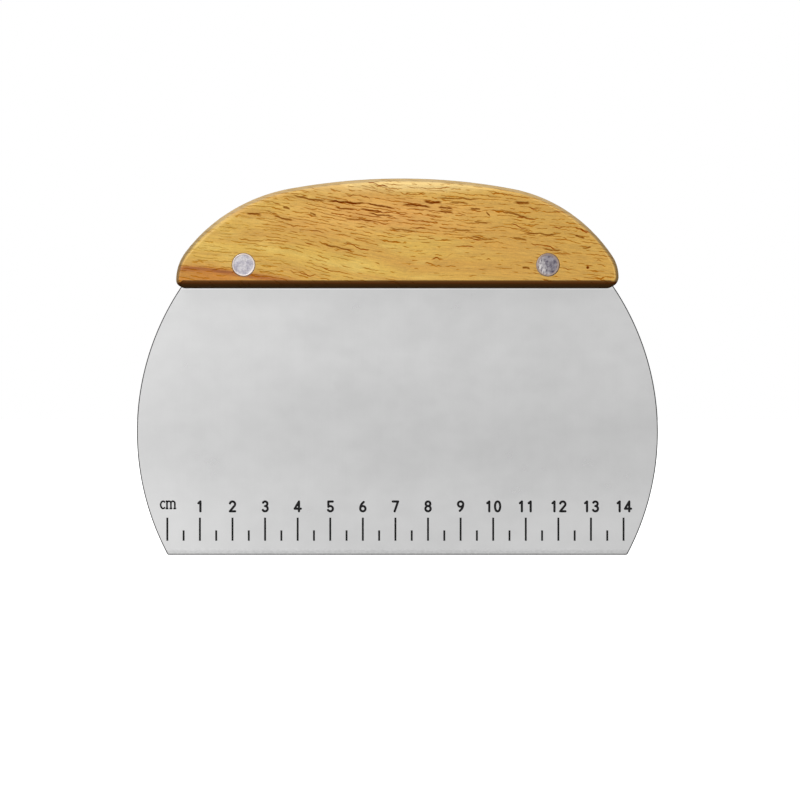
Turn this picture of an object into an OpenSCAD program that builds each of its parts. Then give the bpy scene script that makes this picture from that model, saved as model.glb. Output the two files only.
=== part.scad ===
// Bench scraper: a half-moon wooden handle, sawn with a slot and riveted over the tang of a
// steel blade that is cut from a disc. A centimetre scale is printed along the working edge.
//
// Frame: +X runs along the working edge, +Y from the printed face to the plain face, and +Z
// from the edge up to the handle. The origin is the middle of the working edge.

/* [Blade] */
// Diameter of the disc that the blade is cut from
blade_d = 160; // [156:1:164]
// Thickness of the blade's sheet steel
blade_t = 1; // [0.8:0.1:1.2]
// Height of the disc's centre above the working edge
disc_h = 37.8; // [36.6:0.2:39.8]
// Height of blade that shows below the handle
blade_h = 82; // [80:0.5:84]
// Depth of the tang inside the handle
tang_h = 14; // [12:0.5:16]
// Thickness of the flat left at the working edge
edge_t = 0.6; // [0.4:0.1:0.8]
// Height of the bevels ground above the working edge
bevel_h = 2.2; // [1:0.1:3]
// Width of the deburred chamfer round the disc
deburr = 0.25; // [0.1:0.05:0.35]
// Radius of the two corners of the working edge
blade_corner_r = 0.8; // [0.4:0.1:2]

/* [Handle] */
// Width of the handle
handle_w = 134.2; // [133:0.2:134.6]
// Height of the handle above its underside
handle_h = 32.8; // [32.8:0.4:34]
// Thickness of the handle
handle_t = 18; // [16:0.5:20]
// Radius of the middle of the arch
crown_r = 185; // [185:5:195]
// Angle from the middle of the arch to where its shoulders start
crown_angle = 10.5; // [10.5:0.25:10.75]
// Radius of the arch's shoulders
shoulder_r = 49; // [48.5:0.5:50]
// Radius of the two lower corners
corner_r = 2.2; // [2.1:0.1:2.3]
// Radius of the sanded edges
round_r = 1.5; // [1:0.1:1.7]
// Clearance on each side of the blade in the saw slot
slot_gap = 0.05; // [0.02:0.01:0.1]

/* [Rivets] */
// Distance between the two rivets
rivet_pitch = 92.1; // [80:0.1:100]
// Distance of the rivets' midpoint from the middle of the blade
rivet_shift = -0.5; // [-1:0.1:1]
// Height of the rivets above the handle's underside
rivet_h = 6.5; // [6:0.1:7.5]
// Diameter of the rivets' heads
head_d = 7; // [6:0.5:8]
// Thickness of the heads
head_t = 1.5; // [1.2:0.1:2]
// Diameter of the rivets' sleeves
sleeve_d = 4.9; // [4.5:0.1:5.2]
// Diameter of the pins pressed into the sleeves
pin_d = 3.2; // [2.8:0.1:3.4]

/* [Scale] */
// Length of the scale in centimetres
scale_cm = 14; // [10:1:14]
// Distance of the scale's midpoint from the middle of the blade
scale_shift = -0.6; // [-1:0.1:1]
// Height of the lower ends of the marks above the working edge
mark_z = 4.4; // [4:0.1:6]
// Length of the centimetre marks
long_mark = 7.1; // [6:0.1:8]
// Length of the half-centimetre marks
short_mark = 3.2; // [2.5:0.1:4]
// Width of the marks
mark_w = 0.6; // [0.4:0.05:0.7]
// Height of the numerals
figure_h = 3.7; // [3.5:0.1:4]
// Width of the strokes of the numerals
stroke = 0.7; // [0.6:0.02:0.74]
// Thickness of the ink
ink_t = 0.03; // [0.02:0.01:0.05]

/* [Hidden] */
$fn = 96;

// Room that a cutter has past the faces it cuts
over = 1;

// The arch is a crown arc, two shoulder arcs and two end arcs, each tangent to the next. The end
// arcs' radius follows from the handle's width. Each arc runs on a little way inside its larger
// neighbour, one step below its surface. Points here are [x, z].
joint_step = 0.06;
joint_run = 1;
corner_run = 10;
handle_top = blade_h + handle_h;
crown_c = [0, handle_top - crown_r];
shoulder_c = crown_c + (crown_r - shoulder_r) * [sin(crown_angle), cos(crown_angle)];
end_z = blade_h + corner_r;
end_x = handle_w / 2 + 2 * joint_step;
reach = [end_x, end_z] - shoulder_c;
end_r = (pow(shoulder_r, 2) - reach * reach) / (2 * (shoulder_r - reach.x));
end_c = [end_x - end_r, end_z];
end_angle = atan2(end_c.x - shoulder_c.x, end_c.y - shoulder_c.y);
corner_c = [handle_w / 2 - corner_r, end_z];
// The slab's outline runs inside the rim's flat band, halfway across it
slab_inset = (corner_r + round_r) / 2;

// Rivets: the heads are sanded flush with the wood, and the sleeves stop short of the pins' heads
rivet_z = blade_h + rivet_h;
rivet_left = rivet_shift - rivet_pitch / 2;
rivet_right = rivet_shift + rivet_pitch / 2;
head_gap = 0.05;
head_chamfer = 0.3;
bore_d = sleeve_d + 0.1;
blade_hole_d = sleeve_d + 0.3;
head_y = handle_t / 2;
seat_y = handle_t / 2 - head_t;
sleeve_end_y = seat_y - 0.4;
pin_tip_y = 4.5;
sleeve_bottom_y = 5;
pin_taper = 0.6;

// Scale: the first mark's place, and the strokes' centre lines within a numeral
scale_x = scale_shift - scale_cm * 5;
figure_z = mark_z + long_mark + 1.6;
figure_gap = 2.7;
base = stroke / 2;
top = figure_h - stroke / 2;
big_r = 0.8;
small_r = (top - base) / 2 - big_r;
stem_r = 2.5;
unit_h = 2.75;
unit_stroke = 0.52;

// ---- Handle ----

function around(c, r, a) = c + r * [sin(a), cos(a)];

function arc(c, r, from, to, steps) =
    [for (i = [0:steps]) around(c, r, from + (to - from) * i / steps)];

// The right half of the slab's outline, from the crown down to the underside
function half_slab() = concat(
    arc(crown_c, crown_r - slab_inset, 0, crown_angle, 3),
    arc(shoulder_c, shoulder_r - slab_inset, crown_angle, end_angle, 6),
    arc(end_c, end_r - slab_inset, end_angle, 90, 4),
    [[corner_c.x, blade_h + slab_inset]]
);

function mirrored(points) = [for (i = [len(points) - 1:-1:0]) [-points[i].x, points[i].y]];

// Section through the rim, from the outline at x = radius inwards: a band with rounded edges
module rim_section(radius) {
    depth = radius > 0 ? min(radius, corner_r) : corner_r;
    difference() {
        translate([radius - depth, -handle_t / 2]) square([depth, handle_t]);
        for (side = [0, 1]) mirror([0, side]) translate([radius - round_r, handle_t / 2 - round_r])
            difference() {
                square([round_r + over, round_r + over]);
                circle(round_r);
            }
    }
}

// A stretch of rim round an arc. Angles are from +Z towards +X.
module rim_arc(centre, radius, from, to) {
    translate([centre.x, 0, centre.y]) rotate([90, 0, 0]) rotate([0, 0, 90 - to])
        rotate_extrude(angle = to - from) rim_section(radius);
}

module rim_bottom() {
    translate([-corner_c.x, 0, blade_h]) rotate([0, 90, 0]) linear_extrude(2 * corner_c.x)
        rim_section(0);
}

module handle_body() {
    rotate([90, 0, 0]) linear_extrude(handle_t, center = true)
        polygon(concat(half_slab(), mirrored(half_slab())));
    rim_arc(crown_c, crown_r, -crown_angle, crown_angle);
    for (side = [0, 1]) mirror([side, 0, 0]) {
        rim_arc(shoulder_c, shoulder_r - joint_step, crown_angle - joint_run, end_angle);
        rim_arc(end_c, end_r - 2 * joint_step, end_angle - joint_run, 90);
        rim_arc(corner_c, corner_r - joint_step, 90 - corner_run, 180 + corner_run);
    }
    rim_bottom();
}

// A stepped hole through the handle: the sleeve's bore with a seat for a head at each face
module rivet_bore(x) {
    translate([x, 0, rivet_z]) rotate([90, 0, 0]) {
        cylinder(d = bore_d, h = handle_t + 2 * over, center = true);
        for (side = [0, 1]) mirror([0, 0, side]) translate([0, 0, seat_y])
            cylinder(d = head_d + 2 * head_gap, h = head_t + over);
    }
}

module saw_slot() {
    width = blade_t + 2 * slot_gap;
    translate([-handle_w / 2 - over, -width / 2, blade_h - over])
        cube([handle_w + 2 * over, width, tang_h + slot_gap + over]);
}

module handle() {
    color("peru") difference() {
        handle_body();
        saw_slot();
        rivet_bore(rivet_left);
        rivet_bore(rivet_right);
    }
}

// ---- Blade ----

// The whole disc, standing, with its rim deburred on both faces
module disc() {
    r = blade_d / 2;
    half = blade_t / 2;
    translate([0, 0, disc_h]) rotate([90, 0, 0]) rotate_extrude() polygon([
        [0, -half], [r - deburr, -half], [r, deburr - half],
        [r, half - deburr], [r - deburr, half], [0, half]
    ]);
}

// What a corner of the working edge loses to its radius
module corner_cut() {
    away = blade_d / 2 - blade_corner_r;
    c = [sqrt(pow(away, 2) - pow(disc_h - blade_corner_r, 2)), blade_corner_r];
    out = (c - [0, disc_h]) / away;
    rotate([90, 0, 0]) linear_extrude(blade_t + 2 * over, center = true) difference() {
        polygon([c, [c.x, -over], [c.x + 3 * blade_corner_r, -over], c + 3 * blade_corner_r * out]);
        translate(c) circle(blade_corner_r);
    }
}

// What the printed face loses to its bevel
module bevel_cut() {
    slope = (blade_t - edge_t) / 2 / bevel_h;
    rotate([90, 0, 90]) linear_extrude(blade_d, center = true) polygon([
        [-blade_t / 2 - over, -over], [-edge_t / 2 + slope * over, -over],
        [-blade_t / 2, bevel_h], [-blade_t / 2 - over, bevel_h]
    ]);
}

module blade() {
    color("silver") difference() {
        intersection() {
            disc();
            translate([-blade_d / 2, -blade_t, 0]) cube([blade_d, 2 * blade_t, blade_h + tang_h]);
        }
        for (side = [0, 1]) {
            mirror([side, 0, 0]) corner_cut();
            mirror([0, side, 0]) bevel_cut();
        }
        for (x = [rivet_left, rivet_right]) translate([x, 0, rivet_z]) rotate([90, 0, 0])
            cylinder(d = blade_hole_d, h = 2 * blade_t, center = true);
    }
}

// ---- Rivets ----

// The front half: a head with a blind sleeve. Its outline is [radius, distance towards -Y].
module rivet_sleeve(x) {
    color("lightsteelblue") translate([x, 0, rivet_z]) rotate([90, 0, 0]) rotate_extrude() polygon([
        [0, sleeve_bottom_y], [pin_d / 2, sleeve_bottom_y], [pin_d / 2, -sleeve_end_y],
        [sleeve_d / 2, -sleeve_end_y], [sleeve_d / 2, seat_y], [head_d / 2, seat_y],
        [head_d / 2, head_y - head_chamfer / 2], [head_d / 2 - head_chamfer, head_y], [0, head_y]
    ]);
}

// The back half: a head with the solid pin that is pressed into the sleeve
module rivet_pin(x) {
    color("lightsteelblue") translate([x, 0, rivet_z]) rotate([-90, 0, 0]) rotate_extrude() polygon([
        [0, -pin_tip_y], [pin_d / 2 - pin_taper / 2, -pin_tip_y], [pin_d / 2, pin_taper - pin_tip_y],
        [pin_d / 2, seat_y], [head_d / 2, seat_y],
        [head_d / 2, head_y - head_chamfer / 2], [head_d / 2 - head_chamfer, head_y], [0, head_y]
    ]);
}

// ---- Scale ----

// Ink on the printed face. Its children are drawn in the plane of that face, as [x, z].
module print() {
    color([0.06, 0.06, 0.06]) translate([0, -blade_t / 2, 0]) rotate([90, 0, 0])
        linear_extrude(ink_t) children();
}

module mark(x, length) {
    translate([x - mark_w / 2, mark_z]) square([mark_w, length]);
}

// A straight stroke with round ends
module bar(from, to, width = stroke) {
    step = to - from;
    translate(from) rotate(atan2(step.y, step.x)) {
        translate([0, -width / 2]) square([norm(step), width]);
        circle(d = width);
        translate([norm(step), 0]) circle(d = width);
    }
}

// A stroke round part of a circle, anticlockwise, with round ends
module bow(centre, radius, from, to, width = stroke) {
    far = 3 * radius;
    third = (to - from) / 3;
    translate(centre) {
        difference() {
            intersection() {
                circle(radius + width / 2);
                polygon([
                    [0, 0],
                    for (i = [0:3]) far * [cos(from + third * i), sin(from + third * i)]
                ]);
            }
            circle(radius - width / 2);
        }
        for (a = [from, to]) translate(radius * [cos(a), sin(a)]) circle(d = width);
    }
}

module ring(centre, radius) {
    translate(centre) difference() {
        circle(radius + stroke / 2);
        circle(radius - stroke / 2);
    }
}

// The left side of an oval and its ends, which stop at an angle short of the right side
module open_oval(centre, half_w, half_h, end_r, stop, width = stroke) {
    rise = half_h - end_r;
    side_r = (half_w * half_w + rise * rise - end_r * end_r) / (2 * (half_w - end_r));
    turn = atan2(rise, side_r - half_w);
    bow(centre + [side_r - half_w, 0], side_r, 180 - turn, 180 + turn, width);
    bow(centre + [0, rise], end_r, stop, 180 - turn, width);
    bow(centre - [0, rise], end_r, 180 + turn, 360 - stop, width);
}

module figure_0() {
    for (side = [0, 1]) mirror([side, 0])
        open_oval([0, figure_h / 2], big_r, (top - base) / 2, 0.6, 90);
}

module figure_1() {
    bar([0.15, base], [0.15, top]);
    bar([0.15, top], [-0.45, top - 0.5]);
}

module figure_2() {
    c = [0, top - big_r];
    bow(c, big_r, -35, 165);
    bar(c + big_r * [cos(-35), sin(-35)], [-big_r, base]);
    bar([-big_r, base], [big_r, base]);
}

module figure_3() {
    bow([0, top - small_r], small_r, -90, 150);
    bow([0, base + big_r], big_r, -150, 90);
}

module figure_4() {
    bar([0.4, base], [0.4, top]);
    bar([0.4, top], [-0.9, 1.15]);
    bar([-0.9, 1.15], [0.95, 1.15]);
}

module figure_5() {
    c = [0, base + big_r];
    bar([-0.6, top], [0.75, top]);
    bar([-0.6, top], c + big_r * [cos(135), sin(135)]);
    bow(c, big_r, -150, 135);
}

module figure_6() {
    ring([0, base + big_r], big_r);
    bow([stem_r - big_r, base + big_r], stem_r, 125, 180);
}

module figure_7() {
    bar([-big_r, top], [big_r, top]);
    bar([big_r, top], [-0.25, base]);
}

module figure_8() {
    ring([0, base + big_r], big_r);
    ring([0, top - small_r], small_r);
}

module figure_9() {
    translate([0, figure_h]) rotate(180) figure_6();
}

module figure(digit) {
    if (digit == 0) figure_0();
    if (digit == 1) figure_1();
    if (digit == 2) figure_2();
    if (digit == 3) figure_3();
    if (digit == 4) figure_4();
    if (digit == 5) figure_5();
    if (digit == 6) figure_6();
    if (digit == 7) figure_7();
    if (digit == 8) figure_8();
    if (digit == 9) figure_9();
}

module number(value) {
    if (value < 10) figure(value);
    else {
        translate([-figure_gap / 2, 0]) figure(floor(value / 10));
        translate([figure_gap / 2, 0]) figure(value % 10);
    }
}

module centimetre_marks() {
    print() for (i = [0:scale_cm]) mark(scale_x + 10 * i, long_mark);
}

module half_centimetre_marks() {
    print() for (i = [0:scale_cm - 1]) mark(scale_x + 10 * i + 5, short_mark);
}

module scale_numerals() {
    print() for (i = [1:scale_cm]) translate([scale_x + 10 * i, figure_z]) number(i);
}

// The letter c, with its left side at x = 0 in the middle of the stroke
module letter_c() {
    half_w = 0.75;
    open_oval([half_w, unit_h / 2], half_w, (unit_h - unit_stroke) / 2, 0.5, 30, unit_stroke);
}

// The letter m, with its first stem at x = 0 and small serifs
module letter_m() {
    arch_r = 0.6;
    serif = 0.2;
    spring_z = unit_h - unit_stroke / 2 - arch_r;
    for (i = [0:2]) translate([2 * arch_r * i, 0]) {
        bar([0, unit_stroke / 2], [0, spring_z], unit_stroke);
        bar([-serif, unit_stroke / 2], [serif, unit_stroke / 2], unit_stroke);
    }
    for (i = [0:1]) bow([arch_r * (1 + 2 * i), spring_z], arch_r, 0, 180, unit_stroke);
    bar([0, spring_z], [0, unit_h - unit_stroke / 2], unit_stroke);
    bar([-serif, unit_h - unit_stroke / 2], [0, unit_h - unit_stroke / 2], unit_stroke);
}

module scale_unit() {
    print() translate([scale_x, figure_z + figure_h - unit_h]) {
        translate([-2.05, 0]) letter_c();
        translate([-0.1, 0]) letter_m();
    }
}

handle();
blade();
rivet_sleeve(rivet_left);  // rivet_sleeve_left
rivet_sleeve(rivet_right);  // rivet_sleeve_right
rivet_pin(rivet_left);  // rivet_pin_left
rivet_pin(rivet_right);  // rivet_pin_right
centimetre_marks();
half_centimetre_marks();
scale_numerals();
scale_unit();
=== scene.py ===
import math

import bmesh
import bpy
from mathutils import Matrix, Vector, noise


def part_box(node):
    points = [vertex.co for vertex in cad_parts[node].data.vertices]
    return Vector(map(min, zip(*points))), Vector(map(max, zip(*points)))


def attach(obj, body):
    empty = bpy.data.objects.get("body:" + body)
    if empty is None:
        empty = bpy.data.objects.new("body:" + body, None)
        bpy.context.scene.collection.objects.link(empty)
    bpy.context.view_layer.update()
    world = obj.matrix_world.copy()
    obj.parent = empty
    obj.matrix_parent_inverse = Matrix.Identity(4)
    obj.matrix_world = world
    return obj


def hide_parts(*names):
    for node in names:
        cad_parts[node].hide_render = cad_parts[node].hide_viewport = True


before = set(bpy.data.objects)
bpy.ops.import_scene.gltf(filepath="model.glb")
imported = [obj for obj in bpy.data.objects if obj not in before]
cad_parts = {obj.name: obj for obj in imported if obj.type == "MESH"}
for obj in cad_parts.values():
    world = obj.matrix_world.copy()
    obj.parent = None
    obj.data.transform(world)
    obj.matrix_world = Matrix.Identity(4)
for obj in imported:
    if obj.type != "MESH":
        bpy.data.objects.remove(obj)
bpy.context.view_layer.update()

# Everything is in metres, in the frame of the CAD model: +X along the working edge, +Y from the
# printed face to the plain face, +Z up to the handle. Outlines are lists of (x, z).
MM = 0.001

# ---- View and light ----

VIEW_DISTANCE = 600 * MM
VIEW_WIDTH = 245.7 * MM
VIEW_X = 0.8 * MM
VIEW_Z = 47.6 * MM
SENSOR = 36.0
KEY_PLACE = (-0.35, -0.75, 0.75)
KEY_TARGET = (0, 0, 0.08)
KEY_SIZE = 0.6
KEY_POWER = 3

# ---- Handle ----

CROWN_RADIUS = 185 * MM
CROWN_ANGLE = math.radians(10.5)
SHOULDER_RADIUS = 49 * MM
LEFT_CORNER = 2.1 * MM
RIGHT_CORNER = 3.0 * MM
ARCH_LEAN = 1.25 * MM
LEAN_POWER = 2.5
EDGE_DEPTH = 1.5 * MM
EDGE_INSET = 1.45 * MM
CROWN_INSET = 0.4 * MM
LEFT_BUMP = 0.8 * MM
BUMP_ANGLE = math.radians(-32)
BUMP_SPREAD = math.radians(16)
UNDER_INSET = 1.96 * MM
UNDER_FLAT = 0.75
FOOT_DROP = 0.15 * MM
EDGE_STEPS = 9
CROWN_STEPS = 40
SHOULDER_STEPS = 56
END_STEPS = 16
CORNER_STEPS = 12
FOOT_STEPS = 24
SHARP_ANGLE = math.radians(40)
OVER = 1 * MM

# ---- Rivets ----

HEAD_RADIUS = 3.47 * MM
SEAT_RADIUS = 3.58 * MM
HEAD_THICKNESS = 1.5 * MM
SLEEVE_RADIUS = 2.45 * MM
PIN_RADIUS = 1.6 * MM
BORE_RADIUS = 2.5 * MM
BLADE_HOLE_RADIUS = 2.6 * MM
LIP_WIDTH = 0.42 * MM
LIP_HEIGHT = 0.07 * MM
HEAD_EDGE = 0.16 * MM
HEAD_STEPS = 20
BROAD_DENTS = 1.1 * MM
FINE_DENTS = 0.45 * MM
DENT_DEPTHS = (0.018 * MM, 0.045 * MM)
DENT_SEEDS = {"sleeve": (3.5, 8.5), "pin": (17.5, 22.5)}
PIN_TIP = 4.5 * MM
SLEEVE_BOTTOM = 5 * MM
SLEEVE_GAP = 0.4 * MM
PIN_TAPER = 0.3 * MM
TURN_STEPS = 72

# ---- Blade ----

DISC_RADIUS = 80 * MM
DISC_HEIGHT = 37.8 * MM
BLADE_CORNER = 0.8 * MM
BLADE_EDGE = 0.4 * MM
WORKING_EDGE = BLADE_EDGE / 3
BEVEL_HEIGHT = 1.5 * MM
BEVEL_DEPTH = 0.1 * MM
SLOT_GAP = 0.06 * MM
ROUND_STEPS = 120
BLADE_CORNER_STEPS = 8
WORKING_EDGE_STEPS = 40


# ---- Meshes ----

def arc(centre, radius, start, stop, steps):
    """Points round part of a circle, with angles from +Z towards +X. The last one is left out."""
    angles = [start + (stop - start) * i / steps for i in range(steps)]
    return [(centre[0] + radius * math.sin(a), centre[1] + radius * math.cos(a)) for a in angles]


def line(start, stop, steps):
    return [tuple(s + (e - s) * i / steps for s, e in zip(start, stop)) for i in range(steps)]


def outward(points):
    """The unit normal at each point of a clockwise outline."""
    normals = []
    for i, _ in enumerate(points):
        before, after = points[i - 1], points[(i + 1) % len(points)]
        dx, dz = after[0] - before[0], after[1] - before[1]
        length = math.hypot(dx, dz)
        normals.append((-dz / length, dx / length))
    return normals


def edge_profile(flatness):
    """Steps from a slab's face round its edge, as (share of the inset, share of the depth)."""
    steps = []
    for i in range(EDGE_STEPS + 1):
        a = math.radians(90) * i / EDGE_STEPS
        t = i / EDGE_STEPS
        inward = (1 - math.sin(a)) * (1 - flatness) + (1 - t) * flatness
        down = (1 - math.cos(a)) * (1 - flatness) + t * flatness
        steps.append((inward, down))
    return steps


def rounded_slab(name, points, half, depth, inset_at, flatness_at):
    """A slab standing in the XZ plane, its outline's edges rounded on both faces."""
    bm = bmesh.new()
    normals = outward(points)
    rings = []
    for side in (-1, 1):
        rows = [[] for _ in range(EDGE_STEPS + 1)]
        for (x, z), (nx, nz) in zip(points, normals):
            inset = inset_at(nx, nz, side)
            for row, (inward, down) in zip(rows, edge_profile(flatness_at(nz))):
                place = (x - nx * inset * inward, side * (half - depth * down), z - nz * inset * inward)
                row.append(bm.verts.new(place))
        rings.extend(rows if side < 0 else reversed(rows))
    count = len(points)
    for first, second in zip(rings, rings[1:]):
        for i in range(count):
            j = (i + 1) % count
            face = bm.faces.new((first[i], first[j], second[j], second[i]))
            face.smooth = True
    bm.faces.new(rings[0])
    bm.faces.new(rings[-1])
    bmesh.ops.recalc_face_normals(bm, faces=bm.faces)
    return placed(name, bm)


def placed(name, bm):
    mesh = bpy.data.meshes.new(name)
    bm.to_mesh(mesh)
    bm.free()
    piece = bpy.data.objects.new(name, mesh)
    bpy.context.scene.collection.objects.link(piece)
    return piece


def lathed(name, profile, place, facing, relief):
    """A turned solid on an axis along Y. The profile is (radius, distance along facing), from the
    axis and back to it, and relief(x, z, radius) moves its far face."""
    bm = bmesh.new()
    far = max(distance for _, distance in profile)
    rows = []
    for radius, distance in profile:
        count = TURN_STEPS if radius > 0 else 1
        row = []
        for i in range(count):
            a = math.tau * i / TURN_STEPS
            x, z = radius * math.sin(a), radius * math.cos(a)
            lift = relief(x, z, radius) if distance > far - HEAD_THICKNESS / 2 else 0
            row.append(bm.verts.new((place[0] + x, facing * (distance + lift), place[1] + z)))
        rows.append(row)
    for first, second in zip(rows, rows[1:]):
        for i in range(TURN_STEPS):
            j = (i + 1) % TURN_STEPS
            loop = [first[i % len(first)], first[j % len(first)], second[j % len(second)],
                    second[i % len(second)]]
            face = bm.faces.new(dict.fromkeys(loop))
            face.smooth = True
    bmesh.ops.recalc_face_normals(bm, faces=bm.faces)
    return placed(name, bm)


def box_cutter(low, high):
    bm = bmesh.new()
    bmesh.ops.create_cube(bm, size=1)
    for vert in bm.verts:
        vert.co = Vector([(l + h) / 2 + (h - l) * c for l, h, c in zip(low, high, vert.co)])
    return placed("cutter", bm)


def round_cutter(place, radius, near, far):
    bm = bmesh.new()
    rows = []
    for y in (near, far):
        turns = [math.tau * i / TURN_STEPS for i in range(TURN_STEPS)]
        rows.append([bm.verts.new((place[0] + radius * math.sin(a), y, place[1] + radius * math.cos(a)))
                     for a in turns])
    for i in range(TURN_STEPS):
        j = (i + 1) % TURN_STEPS
        bm.faces.new((rows[0][i], rows[0][j], rows[1][j], rows[1][i]))
    bm.faces.new(rows[0])
    bm.faces.new(rows[1])
    bmesh.ops.recalc_face_normals(bm, faces=bm.faces)
    return placed("cutter", bm)


def cut(piece, cutters):
    for cutter in cutters:
        modifier = piece.modifiers.new("cut", "BOOLEAN")
        modifier.operation = "DIFFERENCE"
        modifier.solver = "EXACT"
        modifier.object = cutter
    bpy.context.view_layer.update()
    shaped = piece.evaluated_get(bpy.context.evaluated_depsgraph_get())
    mesh = bpy.data.meshes.new_from_object(shaped)
    piece.modifiers.clear()
    piece.data = mesh
    for cutter in cutters:
        bpy.data.objects.remove(cutter)


def crease(mesh):
    """Keeps the shading of rounded faces from running over the edges of the cuts."""
    smooth = [face.use_smooth for face in mesh.polygons]
    mesh.set_sharp_from_angle(angle=SHARP_ANGLE)
    for face, value in zip(mesh.polygons, smooth):
        face.use_smooth = value


# ---- Handle ----

handle_low, handle_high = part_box("handle")
blade_low, blade_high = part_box("blade")
HALF_WIDTH = (handle_high.x - handle_low.x) / 2
HALF_THICKNESS = handle_high.y
HANDLE_TOP = handle_high.z
HANDLE_FOOT = handle_low.z - FOOT_DROP
BLADE_HALF = -blade_low.y
TANG_TOP = blade_high.z


def half_arch(corner):
    """The right half of the handle's outline, from the crown down to the middle of the foot."""
    crown = (0, HANDLE_TOP - CROWN_RADIUS)
    step = CROWN_RADIUS - SHOULDER_RADIUS
    shoulder = (step * math.sin(CROWN_ANGLE), crown[1] + step * math.cos(CROWN_ANGLE))
    end_z = HANDLE_FOOT + corner
    reach = (HALF_WIDTH - shoulder[0], end_z - shoulder[1])
    radius = (SHOULDER_RADIUS ** 2 - reach[0] ** 2 - reach[1] ** 2) / (2 * (SHOULDER_RADIUS - reach[0]))
    end = (HALF_WIDTH - radius, end_z)
    end_angle = math.atan2(end[0] - shoulder[0], end[1] - shoulder[1])
    quarter = math.radians(90)
    points = arc(crown, CROWN_RADIUS, 0, CROWN_ANGLE, CROWN_STEPS)
    points += arc(shoulder, SHOULDER_RADIUS, CROWN_ANGLE, end_angle, SHOULDER_STEPS)
    points += arc(end, radius, end_angle, quarter, END_STEPS)
    points += arc((HALF_WIDTH - corner, end_z), corner, quarter, 2 * quarter, CORNER_STEPS)
    points += line((HALF_WIDTH - corner, HANDLE_FOOT), (0, HANDLE_FOOT), FOOT_STEPS)
    return points


def handle_outline():
    right = half_arch(RIGHT_CORNER)
    left = [(-x, z) for x, z in half_arch(LEFT_CORNER)]
    points = right + [(0, HANDLE_FOOT)] + left[:0:-1]
    height = HANDLE_TOP - HANDLE_FOOT
    return [(x + ARCH_LEAN * ((z - HANDLE_FOOT) / height) ** LEAN_POWER, z) for x, z in points]


def underneath(nz):
    """1 where the outline faces straight down, falling to 0 where it is upright."""
    return max(0, -nz) ** 4


def handle_inset(nx, nz, side):
    """The sanded edge is wider over the crown, and widest at one place of the front face."""
    angle = math.atan2(nx, nz)
    bump = math.exp(-((angle - BUMP_ANGLE) / BUMP_SPREAD) ** 2)
    above = EDGE_INSET + CROWN_INSET * max(nz, 0) + (LEFT_BUMP * bump if side < 0 else 0)
    below = underneath(nz)
    return above * (1 - below) + UNDER_INSET * below


def handle_flatness(nz):
    """The edges are rounded, but for those underneath, which are close to flat chamfers."""
    return UNDER_FLAT * underneath(nz)


def rivet_places():
    places = []
    for name in ("rivet_sleeve_left", "rivet_sleeve_right"):
        low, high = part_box(name)
        places.append(((low.x + high.x) / 2, (low.z + high.z) / 2))
    return places


def make_handle():
    piece = rounded_slab("scraper_handle", handle_outline(), HALF_THICKNESS, EDGE_DEPTH, handle_inset,
                         handle_flatness)
    reach = HALF_WIDTH + OVER
    slot = BLADE_HALF + SLOT_GAP
    cutters = [box_cutter((-reach, -slot, HANDLE_FOOT - OVER), (reach, slot, TANG_TOP + SLOT_GAP))]
    seat = HALF_THICKNESS - HEAD_THICKNESS
    for place in rivet_places():
        cutters.append(round_cutter(place, BORE_RADIUS, -HALF_THICKNESS, HALF_THICKNESS))
        for side in (-1, 1):
            near, far = sorted((side * seat, side * (HALF_THICKNESS + OVER)))
            cutters.append(round_cutter(place, SEAT_RADIUS, near, far))
    cut(piece, cutters)
    crease(piece.data)
    return piece


# ---- Blade ----

def blade_outline():
    away = DISC_RADIUS - BLADE_CORNER
    corner_x = math.sqrt(away ** 2 - (DISC_HEIGHT - BLADE_CORNER) ** 2)
    corner = (corner_x, BLADE_CORNER)
    corner_angle = math.atan2(corner_x, BLADE_CORNER - DISC_HEIGHT)
    top_angle = math.acos((TANG_TOP - DISC_HEIGHT) / DISC_RADIUS)
    half_turn = math.radians(180)
    right = arc((0, DISC_HEIGHT), DISC_RADIUS, top_angle, corner_angle, ROUND_STEPS)
    right += arc(corner, BLADE_CORNER, corner_angle, half_turn, BLADE_CORNER_STEPS)
    right += line((corner_x, 0), (0, 0), WORKING_EDGE_STEPS)
    left = [(-x, z) for x, z in right]
    return right + [(0, 0)] + left[::-1]


def blade_inset(nx, nz, side):
    facing_down = nz <= -0.9
    return WORKING_EDGE if facing_down else BLADE_EDGE


def make_blade():
    piece = rounded_slab("scraper_blade", blade_outline(), BLADE_HALF, BLADE_EDGE, blade_inset,
                         lambda nz: 0)
    bm = bmesh.new()
    bm.from_mesh(piece.data)
    everything = bm.verts[:] + bm.edges[:] + bm.faces[:]
    bmesh.ops.bisect_plane(bm, geom=everything, plane_co=(0, 0, BEVEL_HEIGHT), plane_no=(0, 0, 1))
    for vert in bm.verts:
        if vert.co.z < BEVEL_HEIGHT:
            slim = 1 - BEVEL_DEPTH / BLADE_HALF * (1 - vert.co.z / BEVEL_HEIGHT)
            vert.co.y *= slim
    bm.to_mesh(piece.data)
    bm.free()
    cut(piece, [round_cutter(place, BLADE_HOLE_RADIUS, -OVER, OVER) for place in rivet_places()])
    return piece


# ---- Rivets ----

def head_face(top):
    """Rings across a head's face, as (radius, height), from its rim in to the axis."""
    turn = HEAD_EDGE * 0.3
    inner = HEAD_RADIUS - HEAD_EDGE
    rings = [(HEAD_RADIUS, top - HEAD_EDGE), (HEAD_RADIUS - turn, top - turn), (inner, top)]
    rings += [(inner * (1 - i / HEAD_STEPS), top) for i in range(1, HEAD_STEPS)]
    rings.append((0, top))
    return rings


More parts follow.
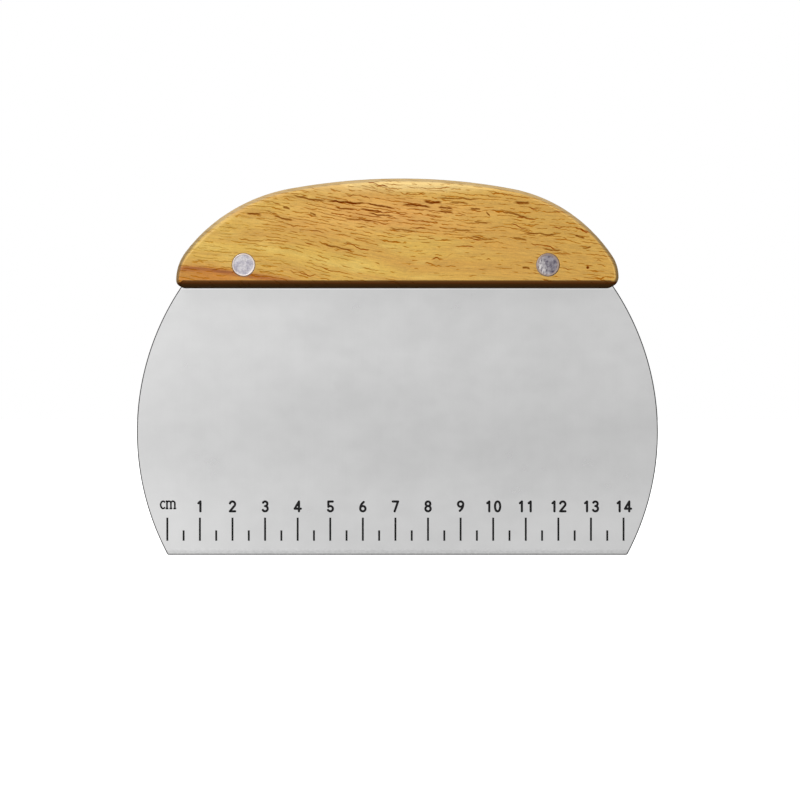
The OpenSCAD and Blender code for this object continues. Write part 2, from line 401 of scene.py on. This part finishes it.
def head_relief(seed, roughness):
    """Dents of the press on a head's face, which lies a little below the lip round it."""
    def relief(x, z, radius):
        into = (HEAD_RADIUS - HEAD_EDGE - radius) / LIP_WIDTH
        if into < 0:
            return 0
        sunk = min(1, into) ** 2 * (3 - 2 * min(1, into))
        broad = noise.noise(Vector((x / BROAD_DENTS, seed, z / BROAD_DENTS)))
        fine = noise.noise(Vector((x / FINE_DENTS, seed + 7, z / FINE_DENTS)))
        return -LIP_HEIGHT * sunk + roughness * (broad + 0.6 * fine) * sunk
    return relief


def make_rivets():
    seat = HALF_THICKNESS - HEAD_THICKNESS
    sleeve_end = seat - SLEEVE_GAP
    pieces = []
    for index, place in enumerate(rivet_places()):
        side = ("left", "right")[index]
        dents = DENT_DEPTHS[index]
        sleeve = [(0, SLEEVE_BOTTOM), (PIN_RADIUS, SLEEVE_BOTTOM), (PIN_RADIUS, -sleeve_end),
                  (SLEEVE_RADIUS, -sleeve_end), (SLEEVE_RADIUS, seat), (HEAD_RADIUS, seat)]
        pin = [(0, -PIN_TIP), (PIN_RADIUS - PIN_TAPER, -PIN_TIP), (PIN_RADIUS, 2 * PIN_TAPER - PIN_TIP),
               (PIN_RADIUS, seat), (HEAD_RADIUS, seat)]
        for kind, profile, facing in (("sleeve", sleeve, -1), ("pin", pin, 1)):
            name = f"rivet_{kind}_{side}"
            piece = lathed("turned_" + name, profile + head_face(HALF_THICKNESS), place, facing,
                           head_relief(DENT_SEEDS[kind][index], dents))
            pieces.append((piece, name, index))
    return pieces


# ---- Materials ----

class Graph:
    """A node tree, with short names for what the materials here are built from."""

    def __init__(self, tree):
        self.tree = tree
        tree.nodes.clear()

    def feed(self, socket, value):
        if isinstance(value, bpy.types.NodeSocket):
            self.tree.links.new(value, socket)
        else:
            socket.default_value = value

    def add(self, kind, settings=None, **inputs):
        made = self.tree.nodes.new(kind)
        for key, value in (settings or {}).items():
            setattr(made, key, value)
        for key, value in inputs.items():
            self.feed(made.inputs[key.replace("_", " ")], value)
        return made

    def operate(self, kind, operation, values):
        made = self.tree.nodes.new(kind)
        made.operation = operation
        for socket, value in zip(made.inputs, values):
            self.feed(socket, value)
        return made.outputs[0]

    def math(self, operation, *values):
        return self.operate("ShaderNodeMath", operation, values)

    def vector(self, operation, *values):
        return self.operate("ShaderNodeVectorMath", operation, values)

    def sum(self, *values):
        total = values[0]
        for value in values[1:]:
            total = self.math("ADD", total, value)
        return total

    def product(self, *values):
        total = values[0]
        for value in values[1:]:
            total = self.math("MULTIPLY", total, value)
        return total

    def most(self, *values):
        total = values[0]
        for value in values[1:]:
            total = self.math("MAXIMUM", total, value)
        return total

    def place(self):
        """Where a point is in the frame, in millimetres."""
        where = self.add("ShaderNodeTexCoord").outputs["Object"]
        made = self.vector("SCALE", where)
        made.node.inputs["Scale"].default_value = 1 / MM
        return made

    def stretched(self, where, x, y, z, shift=0.0):
        """Coordinates in units of x, y and z millimetres, moved along by shift."""
        scaled = self.vector("MULTIPLY", where, (1 / x, 1 / y, 1 / z))
        return self.vector("ADD", scaled, (shift, shift, shift))

    def noise(self, where, detail=2.0, roughness=0.5):
        made = self.add("ShaderNodeTexNoise", Vector=where, Scale=1.0, Detail=detail,
                        Roughness=roughness)
        return made.outputs["Fac"]

    def ramp(self, value, low, high, start=0.0, stop=1.0, kind="SMOOTHSTEP"):
        """Runs smoothly from start, where value is low, to stop, where it is high."""
        made = self.tree.nodes.new("ShaderNodeMapRange")
        made.interpolation_type = kind
        names = ("Value", "From Min", "From Max", "To Min", "To Max")
        for key, given in zip(names, (value, low, high, start, stop)):
            self.feed(made.inputs[key], given)
        return made.outputs[0]

    def slope(self, value, low, high, start, stop):
        """Runs straight from start, where value is low, to stop, where it is high."""
        return self.ramp(value, low, high, start, stop, "LINEAR")

    def near(self, value, middle, spread):
        """1 where value is middle, and 0 from spread away."""
        away = self.math("ABSOLUTE", self.math("SUBTRACT", value, middle))
        return self.ramp(away, spread, 0.0)

    def mix(self, factor, first, second, blend="MIX"):
        made = self.tree.nodes.new("ShaderNodeMix")
        made.data_type = "RGBA"
        made.blend_type = blend
        for socket, value in zip((made.inputs[0], made.inputs[6], made.inputs[7]),
                                 (factor, first, second)):
            self.feed(socket, value)
        return made.outputs[2]

    def grey(self, value):
        return self.add("ShaderNodeCombineColor", Red=value, Green=value, Blue=value).outputs[0]

    def bump(self, height, strength, distance):
        made = self.add("ShaderNodeBump", Height=height, Strength=strength, Distance=distance)
        return made.outputs[0]


def tone(red, green, blue):
    """A colour given as it looks on a screen, in linear light."""
    def linear(value):
        share = value / 255
        return share / 12.92 if share < 0.04045 else ((share + 0.055) / 1.055) ** 2.4
    return (linear(red), linear(green), linear(blue), 1.0)


def new_material(name):
    material = bpy.data.materials.new(name)
    material.use_nodes = True
    return material, Graph(material.node_tree)


def surface(g, **inputs):
    shader = g.add("ShaderNodeBsdfPrincipled", **inputs)
    g.add("ShaderNodeOutputMaterial", Surface=shader.outputs[0])


WOOD_GOLD = tone(196, 158, 66)
WOOD_PALE = tone(208, 176, 88)
WOOD_CREAM = tone(220, 188, 120)
WOOD_PEACH = tone(206, 153, 76)
WOOD_TAN = tone(188, 141, 56)
WOOD_ORANGE = tone(178, 114, 26)
WOOD_RUST = tone(152, 84, 2)
WOOD_BROWN = tone(134, 62, 0)
WOOD_DARK = tone(102, 40, 0)
WOOD_SIDE_SHADE = tone(110, 90, 54)
WOOD_TOP_SHADE = tone(152, 128, 86)
WOOD_RIM_SHADE = tone(104, 88, 66)
WOOD_RIDGE_HIGHLIGHT = tone(236, 206, 132)
WOOD_FOOT_SHADE = tone(88, 40, 2)
WOOD_UNDER_SHADOW = tone(66, 44, 20)

# In millimetres, like everything in the materials: how the grain slants and swells along x, how it
# shifts through the wood, and where the small knot is, as x and height above the handle's foot
GRAIN_SLANT = 0.13
GRAIN_SWELL = 2.0
GRAIN_SHIFT = 0.8
KNOT = (57.6, 5.8)

# The grain's main cracks and streaks, traced from enlarged views of the photograph: from x
# and height above the handle's foot, to x and height, width, depth of colour
STREAKS = (
    (-46.1, 22.2, -40.8, 21.8, 0.30, 0.85),
    (-38.0, 21.7, -31.0, 20.0, 0.30, 0.75),
    (-34.8, 24.3, -32.3, 23.5, 0.34, 0.80),
    (-32.6, 27.6, -21.0, 25.8, 0.30, 0.80),
    (-22.0, 25.9, -9.0, 25.2, 0.34, 1.00),
    (-10.0, 25.4, -0.2, 23.5, 0.28, 0.90),
    (-26.6, 22.4, -24.4, 21.7, 0.30, 0.80),
    (-19.3, 23.7, -12.5, 23.6, 0.26, 0.80),
    (-11.8, 23.5, -4.0, 22.6, 0.28, 0.85),
    (-9.5, 22.4, -0.5, 21.1, 0.26, 0.85),
    (-16.4, 20.8, -6.4, 19.7, 0.32, 0.65),
    (-23.5, 13.0, -12.6, 10.9, 0.26, 0.75),
    (1.0, 25.0, 10.8, 24.2, 0.30, 0.95),
    (-3.2, 17.9, 6.6, 16.6, 0.24, 0.65),
    (7.6, 25.9, 13.8, 25.3, 0.36, 0.95),
    (11.0, 26.8, 25.5, 26.5, 0.26, 0.70),
    (15.4, 25.4, 22.0, 25.3, 0.24, 0.70),
    (12.0, 24.0, 17.2, 23.4, 0.30, 0.85),
    (12.4, 22.7, 17.2, 22.3, 0.28, 0.75),
    (16.2, 17.0, 22.8, 16.8, 0.28, 0.65),
    (21.8, 24.0, 25.4, 23.6, 0.28, 0.80),
    (26.8, 22.7, 28.2, 21.4, 0.34, 0.80),
    (22.8, 19.8, 27.8, 19.2, 0.28, 0.65),
    (21.9, 15.2, 30.0, 13.9, 0.24, 0.65),
    (35.0, 25.5, 40.4, 25.1, 0.42, 0.85),
    (31.3, 22.8, 40.3, 20.7, 0.28, 0.75),
    (38.0, 16.4, 49.3, 15.6, 0.26, 0.75),
    (34.6, 14.9, 39.5, 14.1, 0.28, 0.70),
    (53.5, 15.5, 56.9, 14.6, 0.30, 0.80),
    (43.4, 11.8, 50.1, 10.8, 0.26, 0.70),
    (55.8, 11.7, 58.8, 12.2, 0.28, 0.70),
    (37.6, 5.8, 40.3, 5.4, 0.34, 0.80),
)


def streak(g, x, z, wander, start_x, start_z, stop_x, stop_z, width, depth):
    """One crack of the grain, wandering about a straight line and thinning to its ends."""
    middle = g.slope(x, start_x, stop_x, start_z, stop_z)
    off = g.math("ABSOLUTE", g.math("SUBTRACT", g.math("SUBTRACT", z, middle), wander))
    across = g.ramp(off, 1.25 * width, 0.55 * width)
    along = g.math("ABSOLUTE", g.math("SUBTRACT", x, (start_x + stop_x) / 2))
    reach = (stop_x - start_x) / 2
    return g.product(across, g.ramp(along, reach, 0.55 * reach), depth)


def pores(g, grain, spacing, width, length, amount, seed):
    """Pores cut along the grain: wavering rows about spacing apart, broken into dashes of about
    length. Amount is how much of the rows shows."""
    x, y, across = g.add("ShaderNodeSeparateXYZ", Vector=grain).outputs
    drift = g.noise(g.stretched(grain, 2.4 * length, 6 * spacing, 2.2 * spacing, seed), 1.0)
    jitter = g.noise(g.stretched(grain, 0.35 * length, 2 * spacing, 1.2 * spacing, seed + 3), 1.0)
    course = g.sum(g.product(across, 1 / spacing), g.product(drift, 1.5), g.product(jitter, 0.6))
    row = g.math("FLOOR", course)
    off = g.math("ABSOLUTE", g.math("SUBTRACT", g.math("SUBTRACT", course, row), 0.5))
    along = g.add("ShaderNodeCombineXYZ", X=g.product(x, 1 / length), Y=g.product(row, 3.71),
                  Z=g.sum(g.product(y, 0.25 / spacing), seed)).outputs[0]
    broken = g.noise(along, 1.0)
    shown = g.ramp(g.sum(broken, amount), 0.92, 1.06)
    wide = g.product(width / spacing, g.ramp(shown, 0.0, 1.0, 0.4, 1.0))
    return g.product(g.ramp(g.math("DIVIDE", off, wide), 1.0, 0.35), shown)


def wood_grain(g, where, x, y, raw_z):
    """Coordinates along the grain, which slants down to the right, swells in the middle and wavers."""
    swell = g.product(GRAIN_SWELL, g.near(x, 0.0, 36.0))
    bend = g.product(3.4, g.math("SUBTRACT", g.noise(g.stretched(where, 30, 14, 18), 1.0), 0.5))
    across = g.sum(raw_z, g.product(x, GRAIN_SLANT), swell, bend)

    # Away from the front face the grain shifts, so that its pores are threads and not sheets
    depth = g.math("ADD", y, HALF_THICKNESS / MM)
    across = g.math("ADD", across, g.product(depth, GRAIN_SHIFT))
    return g.add("ShaderNodeCombineXYZ", X=x, Y=y, Z=across).outputs[0]


def wood_tones(g, grain, fibre, x, z):
    """The broad tones of this piece of wood, and how near a point is to its busy upper zone."""
    bands = g.noise(g.stretched(grain, 48, 9, 6), 2.0)
    patches = g.noise(g.stretched(grain, 14, 8, 3, 5.3), 3.0)
    colour = g.mix(g.ramp(bands, 0.35, 0.65), WOOD_GOLD, WOOD_TAN)
    colour = g.mix(g.ramp(patches, 0.48, 0.75, 0.0, 0.6), colour, WOOD_PALE)
    colour = g.mix(g.ramp(x, 0.0, 40.0, 0.0, 0.7), colour, WOOD_TAN)
    upper = g.product(g.near(x, -4.0, 46.0), g.near(z, 22.0, 9.5))
    colour = g.mix(g.product(upper, 0.9), colour, WOOD_PEACH)
    colour = g.mix(g.product(upper, g.ramp(patches, 0.35, 0.65, 0.0, 0.4)), colour, WOOD_ORANGE)
    crown = g.product(g.near(x, 4.0, 44.0), g.ramp(z, 27.5, 30.5))
    colour = g.mix(g.product(crown, g.ramp(patches, 0.3, 0.55, 0.5, 1.0)), colour, WOOD_CREAM)

    # A dark streak runs from the left end down to the foot
    low = g.math("SUBTRACT", z, g.ramp(x, -66.0, -28.0, 5.3, 1.6))
    low_zone = g.product(g.ramp(low, 2.2, 0.2), g.ramp(x, -22.0, -40.0))
    colour = g.mix(g.product(low_zone, g.ramp(patches, 0.3, 0.6, 0.75, 1.0)), colour, WOOD_ORANGE)
    low_core = g.product(g.near(low, 0.3, 1.3), g.ramp(x, -26.0, -40.0), g.ramp(fibre, 0.3, 0.6, 0.4, 1.0))
    return g.mix(g.product(low_core, 0.8), colour, WOOD_BROWN), upper


def wood_pores(g, grain, x, z, upper):
    """Three sizes of pores, fewer in the calm zone under the middle of the arch."""
    calm = g.product(g.near(x, 20.0, 62.0), g.ramp(z, 16.0, 9.0))
    busy = g.math("SUBTRACT", g.product(upper, 0.05), g.product(calm, 0.12))
    fine = pores(g, grain, 1.05, 0.16, 3.4, g.sum(busy, 0.48), 0.0)
    middling = pores(g, grain, 1.7, 0.18, 5.5, g.sum(busy, 0.42), 9.7)
    bold = pores(g, grain, 2.9, 0.24, 6.5, g.sum(g.product(upper, -0.05), 0.35), 21.3)
    return fine, middling, bold


def wood_cracks(g, where, x, z, facing):
    """The main cracks, which are on the two faces only, and the small knot."""
    wander = g.product(1.3, g.math("SUBTRACT", g.noise(g.stretched(where, 3.4, 9, 9, 1.7), 2.0), 0.5))
    cracks = 0.0
    for one in STREAKS:
        cracks = g.most(cracks, streak(g, x, z, wander, *one))
    ragged = g.ramp(g.noise(g.stretched(where, 1.4, 1, 0.4), 2.0), 0.3, 0.5, 0.6, 1.0)
    knot = g.vector("DISTANCE", where, (KNOT[0], -HALF_THICKNESS / MM, HANDLE_FOOT / MM + KNOT[1]))
    cracks = g.product(cracks, ragged, g.ramp(facing, 0.2, 0.5))
    return g.most(cracks, g.ramp(knot.node.outputs["Value"], 0.6, 0.25))


def wood_edges(g, where, colour, fibre, z, facing, normal_x, normal_z):
    """The colour, with painted shade on the rounded edges and under the foot and a painted highlight
    along the edges' inner border, and how much a point belongs to the foot."""
    # Painted shade on the rounded edges: lighter where they face up, darker where they face the sides
    edge = g.mix(g.ramp(g.math("DIVIDE", normal_z, g.math("ABSOLUTE", normal_x)), 0.6, 1.6),
                 WOOD_SIDE_SHADE, WOOD_TOP_SHADE)
    # The painted edge shade is weaker on the rim between the two faces, which keeps more of the wood's own
    # colour
    flank = g.ramp(facing, 0.02, 0.3, 0.35, 1.0)
    colour = g.mix(g.product(g.ramp(facing, 0.985, 0.88, 0.0, 0.85), flank), colour, edge)
    # Painted shade, darker still, on the outermost part of the rounding
    colour = g.mix(g.product(g.ramp(facing, 0.6, 0.25, 0.0, 0.7), flank), colour, WOOD_RIM_SHADE)
    # A painted highlight along the inner border of the rounding, broken up by noise
    wear_and_sheen = g.ramp(g.noise(g.stretched(where, 14, 8, 14, 3.9), 2.0), 0.38, 0.55, 0.15, 0.9)
    colour = g.mix(g.product(g.near(facing, 0.988, 0.011), wear_and_sheen, 0.35), colour, WOOD_RIDGE_HIGHLIGHT)
    # Painted shade on the downward-facing foot, deepest in its lowest 1.5 mm next to the blade
    foot = g.ramp(normal_z, -0.3, -0.62)
    painted_underside_shade = g.mix(g.ramp(fibre, 0.35, 0.8, 0.0, 0.5), WOOD_FOOT_SHADE, WOOD_DARK)
    painted_underside_shade = g.mix(g.ramp(z, 1.5, 0.5), painted_underside_shade, WOOD_UNDER_SHADOW)
    return g.mix(foot, colour, painted_underside_shade), foot


def wood_material():
    material, g = new_material("wood")
    where = g.place()
    x, y, raw_z = g.add("ShaderNodeSeparateXYZ", Vector=where).outputs
    z = g.math("SUBTRACT", raw_z, HANDLE_FOOT / MM)
    grain = wood_grain(g, where, x, y, raw_z)
    fibre = g.noise(g.stretched(grain, 12, 0.7, 0.55), 4.0, 0.7)
    colour, upper = wood_tones(g, grain, fibre, x, z)

    fleck = g.noise(g.stretched(grain, 1.6, 0.3, 0.22, 2.2), 2.0, 0.6)
    speckle = g.noise(g.stretched(where, 0.45, 0.45, 0.4, 7.1), 1.0)
    light = g.sum(0.99, g.ramp(fibre, 0.3, 0.7, 0.09, -0.12), g.ramp(fleck, 0.3, 0.7, 0.07, -0.09),
                  g.ramp(speckle, 0.25, 0.75, 0.05, -0.05), g.ramp(x, 28.0, 50.0, 0.0, -0.04))
    colour = g.mix(1.0, colour, g.grey(light), "MULTIPLY")

    normal = g.add("ShaderNodeNewGeometry").outputs["Normal"]
    normal_x, normal_y, normal_z = g.add("ShaderNodeSeparateXYZ", Vector=normal).outputs
    facing = g.math("ABSOLUTE", normal_y)
    fine, middling, bold = wood_pores(g, grain, x, z, upper)
    cracks = wood_cracks(g, where, x, z, facing)
    clear = g.ramp(x, -52.0, -18.0, 0.6, 1.0)
    colour = g.mix(g.product(fine, clear, g.sum(0.7, g.product(upper, 0.2))), colour, WOOD_RUST)
    colour = g.mix(g.product(middling, clear, 0.9), colour,
                   g.mix(upper, WOOD_RUST, WOOD_BROWN))
    colour = g.mix(g.product(bold, clear), colour, g.mix(upper, WOOD_BROWN, WOOD_DARK))
    colour = g.mix(cracks, colour, WOOD_DARK)
    colour, foot = wood_edges(g, where, colour, fibre, z, facing, normal_x, normal_z)

    pits = g.most(fine, middling, bold, cracks)
    height = g.sum(g.product(fibre, 0.3), g.product(fleck, 0.2), g.product(pits, -1.0))
    rough = g.sum(g.ramp(fibre, 0.3, 0.7, 0.42, 0.5), g.product(pits, 0.25), g.product(foot, 0.3))
    smooth = g.product(g.ramp(foot, 0.0, 1.0, 1.0, 0.1), g.ramp(pits, 0.0, 0.7, 1.0, 0.0))
    gloss = g.product(smooth, g.ramp(facing, 0.9, 0.6, 0.35, 0.12))
    surface(g, Base_Color=colour, Roughness=rough, Specular_IOR_Level=gloss,
            Coat_Weight=g.product(smooth, 0.12), Coat_Roughness=0.3,
            Normal=g.bump(height, 0.6, 0.15 * MM))
    return material


STEEL = tone(198, 198, 198)
STEEL_EDGE_SHADE = tone(24, 24, 24)


def steel_material():
    material, g = new_material("steel")
    where = g.place()
    x, _, z = g.add("ShaderNodeSeparateXYZ", Vector=where).outputs
    clouds = g.noise(g.stretched(where, 26, 26, 18), 3.0, 0.55)
    mottle = g.noise(g.stretched(where, 5, 5, 4, 4.4), 3.0, 0.6)
    grain = g.noise(g.stretched(where, 0.5, 0.3, 0.3, 8.8), 2.0, 0.7)
    rolled = g.noise(g.stretched(where, 0.25, 1, 22, 1.9), 2.0, 0.6)
    ground = g.noise(g.stretched(where, 1.1, 1, 0.5, 6.6), 2.0, 0.6)

    # Random tone, with painted shade and light: a darker band across the middle height, a faint one near
    # the top, a little lighter low on the right, a painted highlight just under the handle, and the uneven
    # tone of the ground bevel
    tone_and_painted_shade = g.sum(g.ramp(clouds, 0.3, 0.7, -0.016, 0.016), g.ramp(mottle, 0.3, 0.7, -0.007, 0.007),
                  g.ramp(grain, 0.2, 0.8, -0.004, 0.004), g.ramp(rolled, 0.3, 0.7, -0.004, 0.004),
                  g.product(g.near(z, 38.0, 32.0), -0.09), g.product(g.near(z, 69.0, 11.0), -0.03),
                  g.product(g.ramp(x, 0.0, 60.0), g.ramp(z, 45.0, 10.0), 0.02),
                  g.ramp(z, 81.2, 81.6, 0.0, 0.12),
                  g.product(g.ramp(ground, 0.35, 0.65, -0.05, 0.07), g.ramp(z, 2.6, 1.2)))
    bright = g.product(g.math("ADD", 1.0, tone_and_painted_shade), STEEL[0])
    colour = g.grey(bright)

    # Painted shade makes the sheet's rounded rim and its working edge dark, and the rim is rougher than
    # the faces
    from_axis = g.vector("DISTANCE", g.add("ShaderNodeCombineXYZ", X=x, Z=z).outputs[0],
                         (0.0, 0.0, DISC_HEIGHT / MM)).node.outputs["Value"]
    rim = g.ramp(from_axis, DISC_RADIUS / MM - 0.42, DISC_RADIUS / MM - 0.27)
    foot = g.sum(g.ramp(z, 0.7, 0.2, 0.0, 0.55), g.ramp(z, 1.6, 0.6, 0.0, 0.03))
    colour = g.mix(g.most(rim, foot), colour, STEEL_EDGE_SHADE)
    rough = g.sum(g.ramp(clouds, 0.3, 0.7, 0.27, 0.3), g.ramp(mottle, 0.3, 0.7, 0.0, 0.03),
                  g.product(rim, 0.15))
    surface(g, Base_Color=colour, Metallic=1.0, Roughness=rough)
    return material


RIVET_LIP_HIGHLIGHT = tone(204, 190, 180)
RIVET_LIGHT = tone(190, 186, 188)
RIVET_MID = tone(156, 152, 162)
RIVET_DULL = tone(138, 133, 138)
RIVET_DARK = tone(74, 68, 82)
RIVET_WHITE = tone(216, 211, 208)
RIVET_GAP_SHADOW = tone(132, 104, 82)
RIVET_WORN_RIM = tone(146, 128, 118)


def rivet_material(name, place, wear_and_sheen):
    material, g = new_material(name)
    where = g.place()
    from_axis = g.vector("SUBTRACT", where, (place[0] / MM, 0.0, place[1] / MM))
    x, _, z = g.add("ShaderNodeSeparateXYZ", Vector=from_axis).outputs
    radius = g.math("SQRT", g.sum(g.product(x, x), g.product(z, z)))
    blots = g.noise(g.stretched(where, 1.3, 1.3, 1.3), 2.0, 0.6)
    specks = g.noise(g.stretched(where, 0.55, 0.55, 0.55, 6.1), 2.0, 0.6)
    scratch = g.noise(g.stretched(where, 0.35, 0.35, 1.6, 3.3), 2.0, 0.6)
    if wear_and_sheen:
        colour = g.mix(g.ramp(blots, 0.36, 0.64), RIVET_DULL, RIVET_DARK)
        colour = g.mix(g.ramp(specks, 0.45, 0.62, 0.0, 0.55), colour, RIVET_DULL)
        # Whiter, scratchy patches toward the lower left of the face
        whiter_lower_left = g.ramp(g.sum(x, g.product(z, 0.4)), 0.5, -3.2, 0.0, 0.85)
        colour = g.mix(g.product(whiter_lower_left, g.ramp(scratch, 0.4, 0.56)), colour, RIVET_WHITE)
        lip = g.ramp(radius, HEAD_RADIUS / MM - 0.9, HEAD_RADIUS / MM - 0.3, 0.0, 0.8)
    else:
        colour = g.mix(g.ramp(blots, 0.36, 0.64), RIVET_LIGHT, RIVET_MID)
        colour = g.mix(g.ramp(specks, 0.5, 0.66, 0.0, 0.5), colour, RIVET_DULL)
        lip = g.ramp(radius, HEAD_RADIUS / MM - 0.5, HEAD_RADIUS / MM - 0.3, 0.0, 0.9)
    # A lighter ring round the head's rim: on the bright rivet a painted highlight, on the worn one a
    # browner tone
    colour = g.mix(lip, colour, RIVET_WORN_RIM if wear_and_sheen else RIVET_LIP_HIGHLIGHT)
    # Painted shadow in the thin gap between the head and the wood, at the head's outermost edge
    colour = g.mix(g.ramp(radius, HEAD_RADIUS / MM - 0.12, HEAD_RADIUS / MM - 0.02), colour,
                   RIVET_GAP_SHADOW)
    rough = g.sum(g.ramp(specks, 0.3, 0.7, 0.3, 0.48), g.ramp(scratch, 0.4, 0.7, 0.0, 0.1))
    height = g.sum(g.product(specks, 0.6), g.product(scratch, 0.5))
    surface(g, Base_Color=colour, Metallic=0.85, Roughness=rough,
            Normal=g.bump(height, 0.4, 0.05 * MM))
    return material


def ink_material():
    material, g = new_material("ink")
    where = g.place()
    patchy = g.noise(g.stretched(where, 0.6, 0.6, 0.6), 3.0, 0.7)
    colour = g.mix(g.ramp(patchy, 0.35, 0.8), tone(6, 6, 7), tone(30, 30, 31))
    surface(g, Base_Color=colour, Roughness=g.ramp(patchy, 0.3, 0.7, 0.55, 0.75),
            Specular_IOR_Level=0.15, Normal=g.bump(patchy, 0.3, 0.01 * MM))
    return material


def finish(piece, material):
    piece.data.materials.clear()
    piece.data.materials.append(material)
    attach(piece, "root")


# ---- Studio ----

def make_camera():
    data = bpy.data.cameras.new("camera")
    data.sensor_width = SENSOR
    data.lens = SENSOR * VIEW_DISTANCE / VIEW_WIDTH
    camera = bpy.data.objects.new("camera", data)
    camera.location = (VIEW_X, -VIEW_DISTANCE, VIEW_Z)
    camera.rotation_euler = (math.radians(90), 0, 0)
    bpy.context.scene.collection.objects.link(camera)
    bpy.context.scene.camera = camera


def make_world():
    """White to the eye. As a light it is soft, brighter above and to the left, dimmer far out to
    both sides and dark below, and what shines also sees a white floor straight below."""
    world = bpy.data.worlds.new("studio")
    world.use_nodes = True
    bpy.context.scene.world = world
    g = Graph(world.node_tree)
    way = g.add("ShaderNodeTexCoord").outputs["Generated"]
    x, _, z = g.add("ShaderNodeSeparateXYZ", Vector=way).outputs
    height = g.ramp(z, -0.62, -0.2, 0.04, 1.0)
    upper = g.ramp(z, 0.0, 0.8, 0.0, 0.35)
    left = g.ramp(x, -0.04, -0.34, 0.0, 1.0)
    right = g.ramp(x, 0.05, 0.5, 0.0, 0.35)
    sides = g.ramp(g.math("ABSOLUTE", x), 0.97, 0.7, 0.1, 1.0)
    path = g.add("ShaderNodeLightPath").outputs
    below = g.product(path["Is Glossy Ray"], g.ramp(z, -0.7, -0.9, 0.0, 0.8))
    level = g.sum(g.product(g.sum(0.93, upper, left, right), height, sides), below)
    light = g.add("ShaderNodeBackground", Strength=level)
    seen = g.add("ShaderNodeBackground", Strength=1.0)
    for made in (light, seen):
        made.inputs["Color"].default_value = (1, 1, 1, 1)
    both = g.add("ShaderNodeMixShader", Fac=path["Is Camera Ray"])
    g.tree.links.new(light.outputs[0], both.inputs[1])
    g.tree.links.new(seen.outputs[0], both.inputs[2])
    g.add("ShaderNodeOutputWorld", Surface=both.outputs[0])


def make_floor():
    reach = 4.0
    mesh = bpy.data.meshes.new("floor")
    mesh.from_pydata([(-reach, -reach, 0), (reach, -reach, 0), (reach, reach, 0), (-reach, reach, 0)],
                     [], [(0, 1, 2, 3)])
    floor = bpy.data.objects.new("floor", mesh)
    bpy.context.scene.collection.objects.link(floor)
    floor.visible_diffuse = False
    floor.visible_glossy = False
    material, g = new_material("floor")
    surface(g, Base_Color=(0.3, 0.3, 0.3, 1), Roughness=0.9, Emission_Color=(1, 1, 1, 1),
            Emission_Strength=0.9)
    mesh.materials.append(material)


def make_light(name, place, target, size, power):
    data = bpy.data.lights.new(name, "AREA")
    data.shape = "DISK"
    data.size = size
    data.energy = power
    lamp = bpy.data.objects.new(name, data)
    lamp.location = place
    lamp.rotation_mode = "QUATERNION"
    lamp.rotation_quaternion = (Vector(target) - Vector(place)).to_track_quat("-Z", "Y")
    bpy.context.scene.collection.objects.link(lamp)


bpy.context.scene.view_settings.view_transform = "Standard"
make_camera()
make_world()
make_floor()
make_light("key", KEY_PLACE, KEY_TARGET, KEY_SIZE, KEY_POWER)

handle = make_handle()
finish(handle, wood_material())
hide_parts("handle")
handle.visible_glossy = False
blade = make_blade()
finish(blade, steel_material())
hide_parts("blade")
places = rivet_places()
rivets = (rivet_material("rivet_bright", places[0], False), rivet_material("rivet_worn", places[1], True))
for piece, node, index in make_rivets():
    finish(piece, rivets[index])
    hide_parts(node)
ink = ink_material()
for node in ("centimetre_marks", "half_centimetre_marks", "scale_numerals", "scale_unit"):
    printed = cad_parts[node].data
    printed.materials.clear()
    printed.materials.append(ink)
